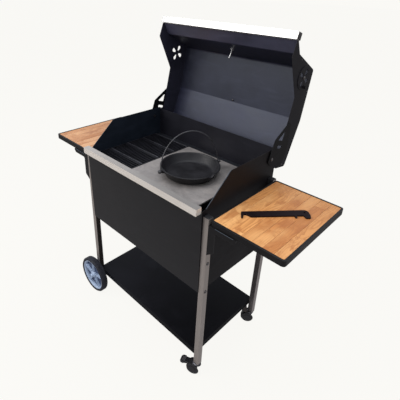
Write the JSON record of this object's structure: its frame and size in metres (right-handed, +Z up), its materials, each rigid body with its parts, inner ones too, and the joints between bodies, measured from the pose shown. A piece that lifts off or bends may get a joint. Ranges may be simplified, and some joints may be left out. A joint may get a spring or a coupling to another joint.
{
  "type": "charcoal grill trolley",
  "caption": "Hooded charcoal grill on a wheeled trolley: angled firebox with grate and hotplate, hinged hood, side tables, bottom shelf and a cast pan.",
  "frame": {"origin": "on the floor, under the middle of the box that the trolley takes with its hood open", "axes": "+X along the front towards the caster end, +Y from the front to the hood's hinge side, +Z up"},
  "size_m": [1.358, 0.699, 1.4325],
  "materials": {
    "black_steel": "black stove enamel, satin",
    "stainless": "brushed stainless steel",
    "grill_iron": "black enamelled cast iron",
    "hotplate_steel": "bare grey plate, matt",
    "cast_iron": "seasoned cast iron",
    "wood": "oiled strip-laminated hardwood",
    "tyre_rubber": "black",
    "hub_plastic": "blue-grey moulded plastic",
    "black_plastic": "black moulded plastic",
    "bright_steel": "bright plated steel"
  },
  "bodies": {
    "trolley": {"front_panel": "black_steel", "back_panel": "black_steel", "side_panel_left": "black_steel", "side_panel_right": "black_steel", "firebox_floor": "black_steel", "charcoal_tray": "black_steel", "plate_ledge_front": "black_steel", "plate_ledge_back": "black_steel", "front_rail": "stainless", "leg_front_left": "stainless", "leg_front_right": "stainless", "leg_back_left": "stainless", "leg_back_right": "stainless", "bottom_shelf": "black_steel", "axle": "bright_steel", "axle_cap_front": "black_plastic", "axle_cap_back": "black_plastic", "caster_plug_front": "black_plastic", "caster_plug_back": "black_plastic", "table_frame_left": "black_steel", "table_frame_right": "black_steel", "table_board_left": "wood", "table_board_right": "wood", "bracket_front_left": "black_steel", "bracket_front_right": "black_steel", "bracket_back_left": "black_steel", "bracket_back_right": "black_steel", "hinge_bolt_left": "bright_steel", "hinge_bolt_right": "bright_steel"},
    "hood": {"hood_shell": "black_steel", "hood_end_left": "black_steel", "hood_end_right": "black_steel", "hinge_plate_left": "black_steel", "hinge_plate_right": "black_steel", "hood_handle": "stainless", "thermometer": "bright_steel"},
    "damper_left": {"damper_left": "black_steel"},
    "damper_right": {"damper_right": "black_steel"},
    "wheel_front": {"tyre_front": "tyre_rubber", "hub_front": "hub_plastic"},
    "wheel_back": {"tyre_back": "tyre_rubber", "hub_back": "hub_plastic"},
    "caster_front": {"caster_fork_front": "bright_steel"},
    "caster_back": {"caster_fork_back": "bright_steel"},
    "caster_wheel_front": {"caster_wheel_front": "black_plastic"},
    "caster_wheel_back": {"caster_wheel_back": "black_plastic"},
    "brake_pedal": {"brake_pedal": "black_plastic"},
    "grill_grate": {"grill_grate": "grill_iron"},
    "hotplate": {"hotplate": "hotplate_steel"},
    "pan": {"pan": "cast_iron"},
    "pan_bail": {"pan_bail": "cast_iron"},
    "lifter": {"lifter": "cast_iron"}
  },
  "joints": [
    {"name": "hood_hinge", "type": "hinge", "parent": "trolley", "child": "hood", "pos_m": [0, 0.11398, 0.938], "axis": [-1, 0, 0], "range_deg": [-107, 0]},
    {"name": "damper_left_turn", "type": "hinge", "parent": "hood", "child": "damper_left", "pos_m": [-0.363, 0.27605, 1.24921], "axis": [-1, 0, 0], "range_deg": [0, 45]},
    {"name": "damper_right_turn", "type": "hinge", "parent": "hood", "child": "damper_right", "pos_m": [0.363, 0.27605, 1.24921], "axis": [1, 0, 0], "range_deg": [0, 45]},
    {"name": "wheel_front_spin", "type": "hinge", "parent": "trolley", "child": "wheel_front", "pos_m": [-0.3715, -0.32352, 0.1015], "axis": [0, 1, 0], "continuous": true},
    {"name": "wheel_back_spin", "type": "hinge", "parent": "trolley", "child": "wheel_back", "pos_m": [-0.3715, 0.17548, 0.1015], "axis": [0, 1, 0], "continuous": true},
    {"name": "caster_front_swivel", "type": "hinge", "parent": "trolley", "child": "caster_front", "pos_m": [0.3715, -0.28052, 0.066], "axis": [0, 0, 1], "continuous": true},
    {"name": "caster_back_swivel", "type": "hinge", "parent": "trolley", "child": "caster_back", "pos_m": [0.3715, 0.13248, 0.066], "axis": [0, 0, 1], "continuous": true},
    {"name": "caster_front_spin", "type": "hinge", "parent": "caster_front", "child": "caster_wheel_front", "pos_m": [0.34925, -0.28951, 0.025], "axis": [0.3746, -0.9272, 0], "continuous": true},
    {"name": "caster_back_spin", "type": "hinge", "parent": "caster_back", "child": "caster_wheel_back", "pos_m": [0.35184, 0.11871, 0.025], "axis": [0.5736, -0.8192, 0], "continuous": true},
    {"name": "brake_rock", "type": "hinge", "parent": "caster_front", "child": "brake_pedal", "pos_m": [0.35667, -0.28652, 0.0535], "axis": [0.3746, -0.9272, 0], "range_deg": [0, 3.5]},
    {"name": "grill_lift", "type": "slide", "parent": "trolley", "child": "grill_grate", "axis": [0, 0, 1], "range_m": [0, 0.15]},
    {"name": "hotplate_lift", "type": "slide", "parent": "trolley", "child": "hotplate", "axis": [0, 0, 1], "range_m": [0, 0.15]},
    {"name": "pan_lift", "type": "slide", "parent": "hotplate", "child": "pan", "axis": [0, 0, 1], "range_m": [0, 0.2]},
    {"name": "bail_swing", "type": "hinge", "parent": "pan", "child": "pan_bail", "pos_m": [0.0955, -0.08352, 0.873], "axis": [0.342, 0.9397, 0], "range_deg": [-75, 85]},
    {"name": "lifter_lift", "type": "slide", "parent": "trolley", "child": "lifter", "axis": [0, 0, 1], "range_m": [0, 0.15]}
  ]
}
